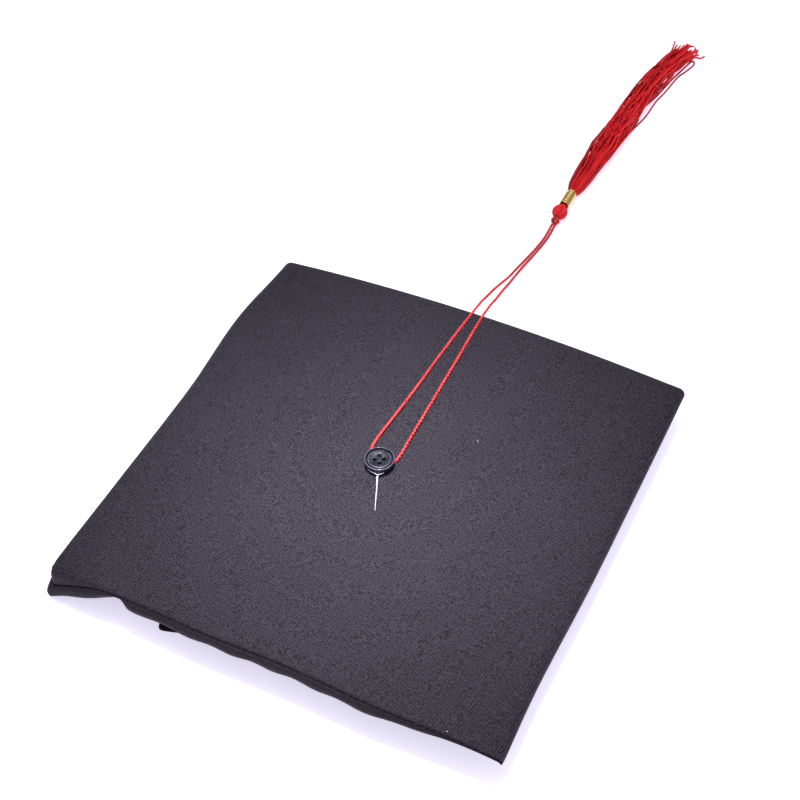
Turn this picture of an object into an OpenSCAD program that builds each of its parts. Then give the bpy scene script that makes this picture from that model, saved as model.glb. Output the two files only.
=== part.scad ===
/* [Board] */
// Side of the square mortarboard
board_side = 240; // [220:5:260]
// Height of the board's corners above the surface that the cap lies on, when the crown is collapsed
corner_height = 22; // [21:0.5:30]
// How far the middle of the board stands above its corners
dome_height = 7.6; // [4:0.2:9]
// How far the middle of the rear edge stands above its corners
rear_bow = 6.6; // [3:0.2:8]
// How far the middle of the front edge stands above its corners
front_bow = 2.5; // [0.5:0.1:4]
// How far the limp front left corner of the bottom cover hangs below the board
corner_droop = 11.8; // [6:0.2:12]
// Thickness of the cover fabric
cover_t = 0.6; // [0.4:0.1:0.8]
// Thickness of the wadding between the insert and the top cover
padding_t = 4.4; // [3:0.2:5]
// Thickness of the stiff insert
insert_t = 2; // [1:0.5:2.5]

/* [Skull cap] */
// Half of the head opening's length, front to back
opening_long = 98; // [90:1:102]
// Half of the head opening's width
opening_wide = 80; // [74:1:84]
// Bearing of the skull cap's front, counted from the board's right side
front_bearing = -116; // [-125:1:-105]
// Height of the headband when the cap lies collapsed
band_height = 8; // [6:0.5:9]
// Thickness of the folded headband
band_t = 1.6; // [1.2:0.2:2]
// Distance of the front point's tip from the cap's centre
point_reach = 131; // [122:1:133]
// Width of the front point where it leaves the headband
point_width = 84; // [60:2:96]

/* [Button] */
// Diameter of the four-hole button
button_d = 14.6; // [13:0.2:17]
// Thickness of the button
button_t = 2.8; // [2.4:0.2:3.6]
// Diameter of each sewing hole
button_hole_d = 1.7; // [1.4:0.1:2]
// Distance between opposite sewing holes
button_hole_pitch = 4.6; // [4:0.2:5]

/* [Tassel] */
// Diameter of the twisted cord
cord_d = 1.7; // [1.4:0.1:1.7]
// Diameter of the thread-wrapped bead
bead_d = 9.5; // [9:0.1:9.6]
// Outer diameter of the gold coil
coil_d = 6.2; // [5.6:0.2:7]
// Length of the gold coil
coil_l = 14; // [12:0.5:14.5]
// Number of turns on the gold coil
coil_turns = 8; // [6:1:10]

/* [Hidden] */
$fn = 64;
small = 0.05;

// ---- Board ----

half = board_side / 2;
inner_side = board_side - 2 * cover_t;
insert_top = cover_t + padding_t;
insert_bottom = insert_top + insert_t;
stack_t = insert_bottom + cover_t;

// The board is arched from side to side, and the ridge of the arch falls towards the front
ridge_even = (rear_bow + front_bow) / 2 - dome_height;
ridge_odd = (rear_bow - front_bow) / 2;
function ridge(t) = dome_height + ridge_odd * t + ridge_even * t * t;

function board_top(x, y) = corner_height + (1 - pow(x / half, 2)) * ridge(y / half);

// Grid lines from -1 to 1
grid_steps = 14;
grid = [for (i = [0 : grid_steps]) 2 * i / grid_steps - 1];
last = len(grid) - 1;
row_n = len(grid);
under = row_n * row_n;

// A square sheet that follows the board's surface, between two depths below it
module board_sheet(side, depth_top, depth_bottom) {
    s = side / 2;
    upper = [for (v = grid, u = grid) [u * s, v * s, board_top(u * s, v * s) - depth_top]];
    lower = [for (v = grid, u = grid) [u * s, v * s, board_top(u * s, v * s) - depth_bottom]];
    cells = [for (j = [0 : last - 1], i = [0 : last - 1]) j * row_n + i];
    polyhedron(
        points = concat(upper, lower),
        faces = concat(
            [for (k = cells) [k, k + row_n, k + row_n + 1]],
            [for (k = cells) [k, k + row_n + 1, k + 1]],
            [for (k = cells) [under + k, under + k + row_n + 1, under + k + row_n]],
            [for (k = cells) [under + k, under + k + 1, under + k + row_n + 1]],
            [for (i = [0 : last - 1]) [i, i + 1, under + i + 1, under + i]],
            [for (i = [0 : last - 1], k = last * row_n) [k + i + 1, k + i, under + k + i, under + k + i + 1]],
            [for (j = [0 : last - 1], k = j * row_n) [k + row_n, k, under + k, under + k + row_n]],
            [for (j = [0 : last - 1], k = j * row_n + last) [k, k + row_n, under + k + row_n, under + k]]
        )
    );
}

// The insert lies loose between the wadding and the bottom cover, and ends short of the edges
insert_margin = 8;
insert_side = inner_side - 2 * insert_margin;
insert_gap = 0.1;

module board_insert() {
    color("tan")
        intersection() {
            board_sheet(inner_side, insert_top + insert_gap, insert_bottom - insert_gap);
            cube([insert_side, insert_side, 2 * half], center = true);
        }
}

module top_padding() {
    color("whitesmoke")
        board_sheet(inner_side, cover_t, insert_top);
}

module top_cover() {
    color("#3e3942")
        difference() {
            board_sheet(board_side, 0, insert_bottom);
            board_sheet(inner_side, cover_t, stack_t + 1);
        }
}

// The limp corner hangs from a fold line across the board's front left corner, inset by the cloth's thickness
fold_front = 34;
fold_side = 14;
module corner_bag(inset) {
    a = inset - half;
    b = fold_front - 3 * inset - half;
    c = fold_side - 3 * inset - half;
    depth = insert_bottom + cover_t / 2 - inset / 2;
    low = corner_height - stack_t - corner_droop + 2 * inset;
    polyhedron(
        points = [
            [a, a, board_top(a, a) - depth],
            [b, a, board_top(b, a) - depth],
            [a, c, board_top(a, c) - depth],
            [a, a, low]
        ],
        faces = [[0, 2, 1], [0, 1, 3], [1, 2, 3], [2, 0, 3]]
    );
}

module bottom_cover() {
    color("#37323b") {
        board_sheet(board_side, insert_bottom, stack_t);
        difference() {
            corner_bag(0);
            corner_bag(cover_t);
        }
    }
}

stitch_size = [2.2, 0.45, 0.3];
stitch_pitch = 3.4;
stitch_inset = 1.6;
first_stitch = fold_front - half;
last_stitch = half - 6;
module front_stitches() {
    color("#221e26")
        for (x = [first_stitch : stitch_pitch : last_stitch])
            translate([x, stitch_inset - half, board_top(x, stitch_inset - half) + small])
                cube(stitch_size);
}

// ---- Crown ----

crown_r = 88;
crown_t = 0.8;
crown_lining_t = 0.4;
crown_lining_inset = 3;

module crown_top() {
    color("#3a353e")
        intersection() {
            board_sheet(board_side, stack_t, stack_t + crown_t);
            cylinder(h = board_side, r = crown_r);
        }
}

module crown_top_lining() {
    color("#2b2830")
        intersection() {
            board_sheet(board_side, stack_t + crown_t, stack_t + crown_t + crown_lining_t);
            cylinder(h = board_side, r = crown_r - crown_lining_inset);
        }
}

// ---- Skull cap's wall and band, drawn with its front along X and turned to its bearing ----

band_long = opening_long + 0.8;
band_wide = opening_wide + 0.8;
outer_long = band_long + band_t;
outer_wide = band_wide + band_t;
wall_t = 6;
wall_bottom = band_height + 0.2;
wall_top = corner_height - stack_t + 1.8;
lining_wall_t = 2.4;
seam_gap = 0.4;
oval_step = 5;

module oval(a, b) {
    polygon([for (t = [0 : oval_step : 360 - oval_step]) [a * cos(t), b * sin(t)]]);
}

module oval_ring(a, b, t, low, high) {
    translate([0, 0, low])
        linear_extrude(high - low)
            difference() {
                oval(a, b);
                oval(a - t, b - t);
            }
}

// The half of the crown's crumpled wall on one side of the front and back seams
module crown_panel(side) {
    rotate([0, 0, front_bearing])
        intersection() {
            oval_ring(outer_long, outer_wide, wall_t, wall_bottom, wall_top);
            translate([-half, side > 0 ? seam_gap / 2 : -half - seam_gap / 2, 0])
                cube([2 * half, half, corner_height]);
        }
}

module crown_panel_left() {
    color("#3b363f")
        crown_panel(1);
}

module crown_panel_right() {
    color("#3b363f")
        crown_panel(-1);
}

module crown_lining() {
    color("#2b2830")
        rotate([0, 0, front_bearing])
            oval_ring(
                outer_long - wall_t - seam_gap, outer_wide - wall_t - seam_gap,
                lining_wall_t, wall_bottom, wall_top
            );
}

module headband() {
    color("#352f39")
        rotate([0, 0, front_bearing])
            oval_ring(outer_long, outer_wide, band_t, 0, band_height);
}

casing_half_angle = 38;
casing_t = 2.6;
casing_wall = 0.8;
strip_low = 0.4;
elastic_low = 1.4;
elastic_high = 6.4;

// The wedge at the back of the skull cap that the gathered casing takes up
module rear_wedge() {
    far = 2 * half;
    linear_extrude(corner_height)
        polygon([
            [0, 0],
            [-far, far * tan(casing_half_angle)],
            [-far, -far * tan(casing_half_angle)]
        ]);
}

module sweatband() {
    color("#1f1c22")
        rotate([0, 0, front_bearing])
            difference() {
                oval_ring(band_long, band_wide, band_long - opening_long, strip_low, band_height);
                rear_wedge();
            }
}

module elastic_casing() {
    color("#2e2932")
        rotate([0, 0, front_bearing])
            intersection() {
                difference() {
                    oval_ring(band_long, band_wide, casing_t, strip_low, band_height);
                    oval_ring(
                        band_long - casing_wall, band_wide - casing_wall,
                        casing_t - 2 * casing_wall, elastic_low, elastic_high
                    );
                }
                rear_wedge();
            }
}

module rear_elastic() {
    color("white")
        rotate([0, 0, front_bearing])
            intersection() {
                oval_ring(
                    band_long - casing_wall, band_wide - casing_wall,
                    casing_t - 2 * casing_wall, elastic_low, elastic_high
                );
                rear_wedge();
            }
}

point_t = 1.2;
point_shoulder = 86;
module front_point() {
    color("#352f39")
        rotate([0, 0, front_bearing])
            linear_extrude(point_t)
                difference() {
                    polygon([
                        [opening_wide, -point_width / 2],
                        [point_shoulder, -point_width / 2],
                        [point_reach, 0],
                        [point_shoulder, point_width / 2],
                        [opening_wide, point_width / 2]
                    ]);
                    oval(outer_long + small, outer_wide + small);
                }
}

// ---- Button ----

glue_bottom = board_top(0, 0) + small;
button_bottom = glue_bottom + cord_d + 0.25;
button_top = button_bottom + button_t;
button_turn = 28;
rim_w = 1.2;
groove_w = 0.8;
dish_depth = 0.9;
groove_depth = 1.2;

module button_holes(d) {
    rotate([0, 0, button_turn])
        for (a = [0 : 90 : 270])
            rotate([0, 0, a])
                translate([button_hole_pitch / 2, 0, button_bottom - 1])
                    cylinder(h = button_t + 2, d = d, $fn = 24);
}

module button() {
    r = button_d / 2;
    color("#4a4a55")
        difference() {
            translate([0, 0, button_bottom])
                rotate_extrude()
                    polygon([
                        [0, 0],
                        [r - 0.6, 0],
                        [r, 0.7],
                        [r, button_t - 0.4],
                        [r - 0.4, button_t],
                        [r - rim_w, button_t],
                        [r - rim_w, button_t - groove_depth],
                        [r - rim_w - groove_w, button_t - groove_depth],
                        [r - rim_w - groove_w, button_t - dish_depth + 0.2],
                        [0, button_t - dish_depth]
                    ]);
            button_holes(button_hole_d);
        }
}

pad_r = 2.7;
plug_gap = 0.04;
plug_drop = 1.2;
fillet_r = 0.8;
fillet_reach = 7.1;
module glue_pad() {
    color("lavender") {
        translate([0, 0, glue_bottom])
            cylinder(h = button_bottom - glue_bottom, r = pad_r);
        rotate([0, 0, button_turn + 90])
            translate([button_hole_pitch / 2, 0, glue_bottom])
                cylinder(h = button_top - glue_bottom - plug_drop, d = button_hole_d - plug_gap, $fn = 24);
        for (a = [-108, -88, -68])
            rotate([0, 0, a])
                translate([fillet_reach, 0, glue_bottom + fillet_r])
                    sphere(r = fillet_r, $fn = 24);
    }
}

// The strand lies on the board, from the button's front edge towards the front right
strand_l = 21;
strand_bearing = -66;
strand_start = 8.2;
strand_pitch = 1.9;
strand_root_r = 0.6;
strand_tip_r = 0.35;
module glue_strand() {
    color("white")
        rotate([0, 0, -88])
            translate([strand_start, 0, glue_bottom + strand_root_r])
                rotate([0, 0, strand_bearing + 88])
                    rotate([0, 90 + strand_pitch, 0])
                        cylinder(h = strand_l, r1 = strand_root_r, r2 = strand_tip_r, $fn = 16);
}

// ---- Tassel ----

// The cord's route: up from the knot, over the board's rear edge, round under the button and back
left_run = [
    [-0.9, 231, 2.6], [-1, 220, 1.2], [-2, 209, 1], [-3.7, 196, 1.6], [-4.5, 186, 3.4],
    [-4.2, 173, 7.6], [-3.6, 159, 14.4], [-2.6, 146, 21.2], [-1.8, 136, 25.8], [-1.7, 128, 28.8]
];
loop = [
    [-1.7, 128, 28.8], [-2.2, 118, 29.7], [-3.6, 96, 30.3], [-4.7, 74, 30.7], [-5.6, 52, 30.9],
    [-7, 32, 30.9], [-8.4, 14, 30.8], [-7.9, 6, 30.7], [-6.1, 0.8, 30.6], [-3.3, -2.6, 30.6],
    [0, -3.8, 30.6], [3.3, -2.6, 30.6], [5.8, 1, 30.6], [7, 8, 30.7], [6.7, 24, 30.9],
    [6.1, 48, 30.9], [5.3, 76, 30.7], [4.2, 104, 30.1], [3.8, 118, 29.7], [4, 128, 28.8]
];
right_run = [
    [4, 128, 28.8], [3.6, 136, 25.8], [2.2, 146, 21.2], [0.4, 159, 14.4], [-1.5, 173, 7.6],
    [-2.2, 186, 3.4], [-1.7, 196, 1.6], [-0.2, 209, 1], [0.8, 220, 1.2], [0.9, 231, 2.6]
];

cord_sides = 8;
run_split = 2;
loop_split = 2;
cut_back = 0.2;

// A smooth curve through the route's points, with n steps between neighbours
function curve_point(a, b, c, d, t) =
    0.5 * (
        2 * b
        + (c - a) * t
        + (2 * a - 5 * b + 4 * c - d) * t * t
        + (3 * b - a - 3 * c + d) * t * t * t
    );
function end_point(r, i) =
    i < 0 ? 2 * r[0] - r[1]
    : i >= len(r) ? 2 * r[len(r) - 1] - r[len(r) - 2]
    : r[i];
function smooth(r, n) = [
    for (i = [0 : len(r) - 2], k = [0 : n - 1])
        curve_point(end_point(r, i - 1), r[i], r[i + 1], end_point(r, i + 2), k / n),
    r[len(r) - 1]
];
function unit(v) = v / norm(v);
function along(p, i) = unit(p[min(i + 1, len(p) - 1)] - p[max(i - 1, 0)]);

// A round tube swept along a list of points
module tube(p, d) {
    n = len(p);
    rings = [
        for (i = [0 : n - 1])
            let (
                t = along(p, i),
                side = unit(cross(t, [0, 0, 1])),
                up = cross(side, t)
            )
            for (k = [0 : cord_sides - 1])
                p[i] + d / 2 * (cos(360 * k / cord_sides) * side + sin(360 * k / cord_sides) * up)
    ];
    polyhedron(
        points = rings,
        faces = concat(
            [[for (k = [0 : cord_sides - 1]) k]],
            [
                for (i = [0 : n - 2], k = [0 : cord_sides - 1])
                    let (a = i * cord_sides, b = (k + 1) % cord_sides)
                    each [
                        [a + k, a + cord_sides + k, a + cord_sides + b],
                        [a + k, a + cord_sides + b, a + b]
                    ]
            ],
            [[for (k = [cord_sides - 1 : -1 : 0]) (n - 1) * cord_sides + k]]
        )
    );
}

module cord_loop() {
    color("crimson")
        tube(smooth(loop, loop_split), cord_d);
}

// A hanging run of the cord, cut back a little where it meets the loop at the board's edge
module cord_run(route) {
    color("crimson")
        difference() {
            tube(smooth(route, run_split), cord_d);
            translate([-half, loop[0][1] - half + cut_back, 0])
                cube([2 * half, half, 2 * half]);
        }
}

module cord_run_left() {
    cord_run(left_run);
}

module cord_run_right() {
    cord_run(right_run);
}

knot_d = 4.6;
knot_at = [0, 233.4, 3];
module tassel_knot() {
    color("crimson")
        translate(knot_at)
            sphere(d = knot_d);
}

axis_z = 4.8;
bead_y = 240.5;
core_d = bead_d - 1.6;
bead_bore_d = 2.2;
module bead_core() {
    color("burlywood")
        translate([0, bead_y, axis_z])
            rotate([90, 0, 0])
                difference() {
                    sphere(d = core_d);
                    cylinder(h = bead_d, d = bead_bore_d, center = true);
                }
}

module bead_wrap() {
    color("red")
        translate([0, bead_y, axis_z])
            rotate([90, 0, 0])
                difference() {
                    sphere(d = bead_d);
                    sphere(d = core_d);
                    cylinder(h = bead_d, d = bead_bore_d, center = true);
                }
}

coil_start = 246;
coil_bore_d = 4;
wire_d = coil_l / coil_turns;
module gold_coil() {
    color("gold")
        translate([0, coil_start, axis_z])
            rotate([-90, 0, 0])
                rotate_extrude()
                    difference() {
                        union() {
                            translate([0, 0.1])
                                square([(coil_d - wire_d) / 2, coil_l - 0.2]);
                            for (i = [0 : coil_turns - 1])
                                translate([(coil_d - wire_d) / 2, (i + 0.5) * wire_d])
                                    circle(d = wire_d, $fn = 24);
                        }
                        square([coil_bore_d / 2, coil_l]);
                    }
}

// The skirt's cross-sections: distance back, offset right, half width, half height
skirt_sections = [
    [236.8, 0, 1, 1],
    [245.4, 0, 1, 1],
    [245.8, 0, 1.9, 1.9],
    [260.4, 0, 1.9, 1.9],
    [261, 0, 3.6, 3.2],
    [268, 0.3, 5.6, 4],
    [280, 0.8, 6.8, 4.4],
    [310, 1.7, 8.4, 4.6],
    [345, 4.2, 8.4, 4.5],
    [375, 5.6, 7.8, 4.4],
    [400, 8.4, 8.2, 4.3],
    [416, 11.6, 8.4, 4.1],
    [428, 14.8, 8.6, 3.8],
    [440, 15.6, 8, 3]
];
skirt_sides = 20;
skirt_lift = 0.3;
module tassel_skirt() {
    n = len(skirt_sections);
    color("red")
        polyhedron(
            points = [
                for (s = skirt_sections, k = [0 : skirt_sides - 1])
                    [
                        s[1] + s[2] * cos(360 * k / skirt_sides),
                        s[0],
                        (s[2] < 2 ? axis_z : min(axis_z, s[3] + skirt_lift))
                            + s[3] * sin(360 * k / skirt_sides)
                    ]
            ],
            faces = concat(
                [[for (k = [0 : skirt_sides - 1]) k]],
                [
                    for (i = [0 : n - 2], k = [0 : skirt_sides - 1])
                        let (a = i * skirt_sides, b = (k + 1) % skirt_sides)
                        each [
                            [a + k, a + skirt_sides + k, a + skirt_sides + b],
                            [a + k, a + skirt_sides + b, a + b]
                        ]
                ],
                [[for (k = [skirt_sides - 1 : -1 : 0]) (n - 1) * skirt_sides + k]]
            )
        );
}

board_insert();
top_padding();
top_cover();
bottom_cover();
front_stitches();
crown_top();
crown_top_lining();
crown_panel_left();
crown_panel_right();
crown_lining();
headband();
sweatband();
front_point();
rear_elastic();
elastic_casing();
button();
glue_pad();
glue_strand();
cord_loop();
cord_run_left();
cord_run_right();
tassel_knot();
bead_core();
bead_wrap();
gold_coil();
tassel_skirt();
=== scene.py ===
"""A black graduation cap lying on its collapsed skull cap, with a glued button and a red tassel.

Shapes are worked out in millimetres, and a piece is made in metres. The cord's route is in metres.
"""

import math

import bpy
import numpy as np
from mathutils import Matrix, Vector


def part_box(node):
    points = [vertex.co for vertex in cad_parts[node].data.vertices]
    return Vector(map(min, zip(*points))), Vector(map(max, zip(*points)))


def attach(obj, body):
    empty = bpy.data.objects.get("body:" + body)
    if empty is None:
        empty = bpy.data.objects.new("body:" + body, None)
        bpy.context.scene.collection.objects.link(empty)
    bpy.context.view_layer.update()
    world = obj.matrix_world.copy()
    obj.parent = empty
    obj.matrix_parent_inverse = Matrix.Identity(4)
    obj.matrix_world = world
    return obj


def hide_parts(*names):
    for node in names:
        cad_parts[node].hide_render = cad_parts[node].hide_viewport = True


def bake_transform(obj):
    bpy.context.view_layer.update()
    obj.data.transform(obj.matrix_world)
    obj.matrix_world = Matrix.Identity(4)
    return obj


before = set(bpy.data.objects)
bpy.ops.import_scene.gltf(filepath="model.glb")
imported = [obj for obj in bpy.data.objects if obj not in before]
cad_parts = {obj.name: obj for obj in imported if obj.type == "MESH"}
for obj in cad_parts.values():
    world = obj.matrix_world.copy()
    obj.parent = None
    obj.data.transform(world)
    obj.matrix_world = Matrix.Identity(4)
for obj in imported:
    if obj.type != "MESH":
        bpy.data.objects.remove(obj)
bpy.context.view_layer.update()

MM = 0.001
TURN = 2 * math.pi

# The cord, and the lay of its plies and of the tassel's threads, in millimetres
CORD_D = 1.7
CORD_PITCH = 4.6
THREAD_PITCH = 2.6


# ---- Camera, light and floor ----

def make_camera():
    azimuth, elevation, roll = math.radians(28.14), math.radians(48.17), math.radians(-2.48)
    distance = 0.8015
    target = Vector((-0.0224, 0.0662, 0))
    back = Vector((
        math.sin(azimuth) * math.cos(elevation),
        -math.cos(azimuth) * math.cos(elevation),
        math.sin(elevation),
    ))
    level = Vector((math.cos(azimuth), math.sin(azimuth), 0))
    upright = back.cross(level)
    right = level * math.cos(roll) + upright * math.sin(roll)
    up = upright * math.cos(roll) - level * math.sin(roll)
    data = bpy.data.cameras.new("camera")
    data.sensor_width = 36
    data.lens = 66.15
    camera = bpy.data.objects.new("camera", data)
    place = Matrix((right, up, back)).transposed().to_4x4()
    place.translation = target + back * distance
    camera.matrix_world = place
    bpy.context.scene.collection.objects.link(camera)
    bpy.context.scene.camera = camera


def hang_light(data, place, aim, power, colour):
    data.energy = power
    data.color = colour
    light = bpy.data.objects.new(data.name, data)
    light.location = place
    light.rotation_euler = (Vector(aim) - Vector(place)).to_track_quat("-Z", "Y").to_euler()
    bpy.context.scene.collection.objects.link(light)


def softbox(name, place, aim, size, power, colour):
    data = bpy.data.lights.new(name, "AREA")
    data.shape = "RECTANGLE"
    data.size, data.size_y = size
    hang_light(data, place, aim, power, colour)


def pool(name, place, aim, reach, power, colour):
    """A soft round pool of light, which fades to nothing at its reach from the aim."""
    data = bpy.data.lights.new(name, "SPOT")
    data.spot_size = 2 * math.atan(reach / (Vector(aim) - Vector(place)).length)
    data.spot_blend = 1
    data.shadow_soft_size = 0.12
    hang_light(data, place, aim, power, colour)


def make_studio():
    scene = bpy.context.scene
    scene.view_settings.view_transform = "Standard"
    scene.world = bpy.data.worlds.new("studio")
    scene.world.use_nodes = True
    tree = scene.world.node_tree
    direction = tree.nodes.new("ShaderNodeTexCoord").outputs["Generated"]
    height = tree.nodes.new("ShaderNodeSeparateXYZ")
    tree.links.new(direction, height.inputs[0])
    sky = tree.nodes.new("ShaderNodeValToRGB")
    sky.color_ramp.elements[0].position = 0.1
    sky.color_ramp.elements[0].color = (0.26, 0.25, 0.3, 1)
    sky.color_ramp.elements[1].position = 0.75
    sky.color_ramp.elements[1].color = (0.9, 0.88, 0.97, 1)
    tree.links.new(height.outputs["Z"], sky.inputs[0])
    tree.links.new(sky.outputs[0], tree.nodes["Background"].inputs["Color"])
    tree.nodes["Background"].inputs["Strength"].default_value = 0.76
    softbox("top_softbox", (-0.12, 0.12, 1.15), (0, 0.05, 0), (0.9, 0.8), 4, (1, 0.98, 0.96))
    pool("board_pool", (-0.05, 0.1, 1.3), (0, -0.016, 0.03), 0.152, 222, (1, 0.98, 1))
    mesh = bpy.data.meshes.new("floor")
    reach = 60.0
    mesh.from_pydata(
        [(-reach, -reach, 0), (reach, -reach, 0), (reach, reach, 0), (-reach, reach, 0)],
        [], [(0, 1, 2, 3)],
    )
    floor = bpy.data.objects.new("floor", mesh)
    material = bpy.data.materials.new("pale_floor")
    material.use_nodes = True
    shader = material.node_tree.nodes["Principled BSDF"]
    shader.inputs["Base Color"].default_value = (0.93, 0.93, 0.94, 1)
    shader.inputs["Roughness"].default_value = 0.6
    shader.inputs["Specular IOR Level"].default_value = 0.1
    shader.inputs["Emission Color"].default_value = (0.84, 0.8, 1.0, 1)
    shader.inputs["Emission Strength"].default_value = 0.66
    mesh.materials.append(material)
    scene.collection.objects.link(floor)


# ---- Meshes ----

def piece(name, points, faces, material, smooth=True, uv=None):
    """A mesh object from points in millimetres. uv holds a pair for every corner of every face."""
    mesh = bpy.data.meshes.new(name)
    mesh.from_pydata((np.asarray(points, float) * MM).tolist(), [], [list(f) for f in faces])
    if uv is not None:
        layer = mesh.uv_layers.new(name="lay")
        layer.data.foreach_set("uv", np.asarray(uv, np.float32).ravel())
    mesh.polygons.foreach_set("use_smooth", [smooth] * len(mesh.polygons))
    mesh.materials.append(material)
    obj = bpy.data.objects.new(name, mesh)
    bpy.context.scene.collection.objects.link(obj)
    return obj


def shell(obj, thickness):
    """Gives a surface the thickness of its cloth, on its inner side."""
    solid = obj.modifiers.new("cloth", "SOLIDIFY")
    solid.thickness = thickness * MM
    solid.offset = -1.0
    return obj


def applied(obj):
    """Applies every modifier on the object."""
    graph = bpy.context.evaluated_depsgraph_get()
    mesh = bpy.data.meshes.new_from_object(obj.evaluated_get(graph), depsgraph=graph)
    obj.modifiers.clear()
    obj.data = mesh
    return obj


def finish_piece(obj, slot, body, *nodes):
    """The piece stands for the nodes and rides on the body; slot is not used."""
    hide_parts(*nodes)
    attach(obj, body)


def grid_faces(rows, columns, closed=False, start=0):
    """Quads between rows of points. A closed grid joins its last column to its first."""
    faces = []
    for i in range(rows - 1):
        for j in range(columns if closed else columns - 1):
            k = (j + 1) % columns
            a, b = start + i * columns, start + (i + 1) * columns
            faces.append((a + j, a + k, b + k, b + j))
    return faces


def capped(points, rows, columns):
    """Faces of a closed tube of rings with a flat face at each end."""
    faces = grid_faces(rows, columns, closed=True)
    faces.append(tuple(range(columns - 1, -1, -1)))
    faces.append(tuple((rows - 1) * columns + j for j in range(columns)))
    return points, faces


def smooth_route(route, split):
    """A smooth curve through a route's points, with split steps between neighbours."""
    p = np.asarray(route, float)
    p = np.vstack([2 * p[0] - p[1], p, 2 * p[-1] - p[-2]])
    out = []
    for i in range(1, len(p) - 2):
        a, b, c, d = p[i - 1:i + 3]
        for t in np.arange(split) / split:
            out.append(0.5 * (
                2 * b + (c - a) * t + (2 * a - 5 * b + 4 * c - d) * t * t
                + (3 * b - a - 3 * c + d) * t ** 3
            ))
    out.append(p[-2])
    return np.array(out)


def evenly(line, step):
    """The line again, with points about step apart."""
    along = np.concatenate([[0], np.cumsum(np.linalg.norm(np.diff(line, axis=0), axis=1))])
    at = np.linspace(0, along[-1], max(2, round(along[-1] / step) + 1))
    return np.stack([np.interp(at, along, line[:, k]) for k in range(3)], axis=1)


def frames_along(line):
    """Unit tangents and two unit normals that don't twist along the line."""
    tangent = np.gradient(line, axis=0)
    tangent /= np.linalg.norm(tangent, axis=1)[:, None]
    side = np.zeros_like(line)
    previous = np.cross(tangent[0], (0, 0, 1))
    if np.linalg.norm(previous) < 0.1:
        previous = np.cross(tangent[0], (1, 0, 0))
    for i, t in enumerate(tangent):
        previous = previous - t * previous.dot(t)
        previous /= np.linalg.norm(previous)
        side[i] = previous
    return tangent, side, np.cross(side, tangent)


def tube(line, radius, sides, pitch=0.0, plies=1, ply_offset=0.0, rounded=True, own=0):
    """A tube's points, faces and uv. Two plies or more make a rope's section, which turns once every pitch.

    The uv's first number goes round the tube, and its second is the distance along it in millimetres.
    The first number starts at twice own, which tells a bundle's threads apart.
    """
    n = len(line)
    radius = np.broadcast_to(np.asarray(radius, float), (n,)).copy()
    _, side, up = frames_along(line)
    along = np.concatenate([[0], np.cumsum(np.linalg.norm(np.diff(line, axis=0), axis=1))])
    angle = TURN * np.arange(sides) / sides
    section = np.ones(sides)
    if plies > 1:
        ply = radius[n // 2] - ply_offset
        reaches = []
        for k in range(plies):
            a = angle - TURN * k / plies
            inside = np.maximum(ply ** 2 - (ply_offset * np.sin(a)) ** 2, 0)
            reaches.append(np.where(inside > 0, ply_offset * np.cos(a) + np.sqrt(inside), 0))
        section = np.max(reaches, axis=0) / radius[n // 2]
    if rounded:
        radius[0] *= 0.45
        radius[-1] *= 0.45
    turn = TURN * along / pitch if pitch else np.zeros(n)
    whole = angle[None, :] + turn[:, None]
    reach = radius[:, None] * section[None, :]
    points = (
        line[:, None, :]
        + (reach * np.cos(whole))[..., None] * side[:, None, :]
        + (reach * np.sin(whole))[..., None] * up[:, None, :]
    ).reshape(-1, 3)
    points, faces = capped(points, n, sides)
    uv = []
    for i in range(n - 1):
        for j in range(sides):
            u0, u1 = 2 * own + j / sides, 2 * own + (j + 1) / sides
            uv += [(u0, along[i]), (u1, along[i]), (u1, along[i + 1]), (u0, along[i + 1])]
    uv += [(2 * own, along[0])] * sides + [(2 * own, along[-1])] * sides
    return points, faces, uv


def joined(parts):
    """One set of points, faces and uv from several."""
    points, faces, uv, start = [], [], [], 0
    for p, f, w in parts:
        points.append(p)
        faces += [tuple(start + i for i in face) for face in f]
        uv += w
        start += len(p)
    return np.vstack(points), faces, uv


def smoothstep(x):
    x = np.clip(x, 0, 1)
    return x * x * (3 - 2 * x)


def bell(x, middle, width):
    return np.exp(-((x - middle) / width) ** 2)


def waver(seed, x, wavelength):
    """A smooth random wave along x, about -1 to 1."""
    rng = np.random.default_rng(seed)
    total = np.zeros_like(np.asarray(x, float))
    for octave in range(2):
        for share in (1.0, 1.37, 0.71):
            total = total + np.sin(
                TURN * x / wavelength * share * 2 ** octave + rng.uniform(0, TURN)
            ) / 2 ** octave
    return total / (3 * 0.75)


# ---- Materials ----

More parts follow.
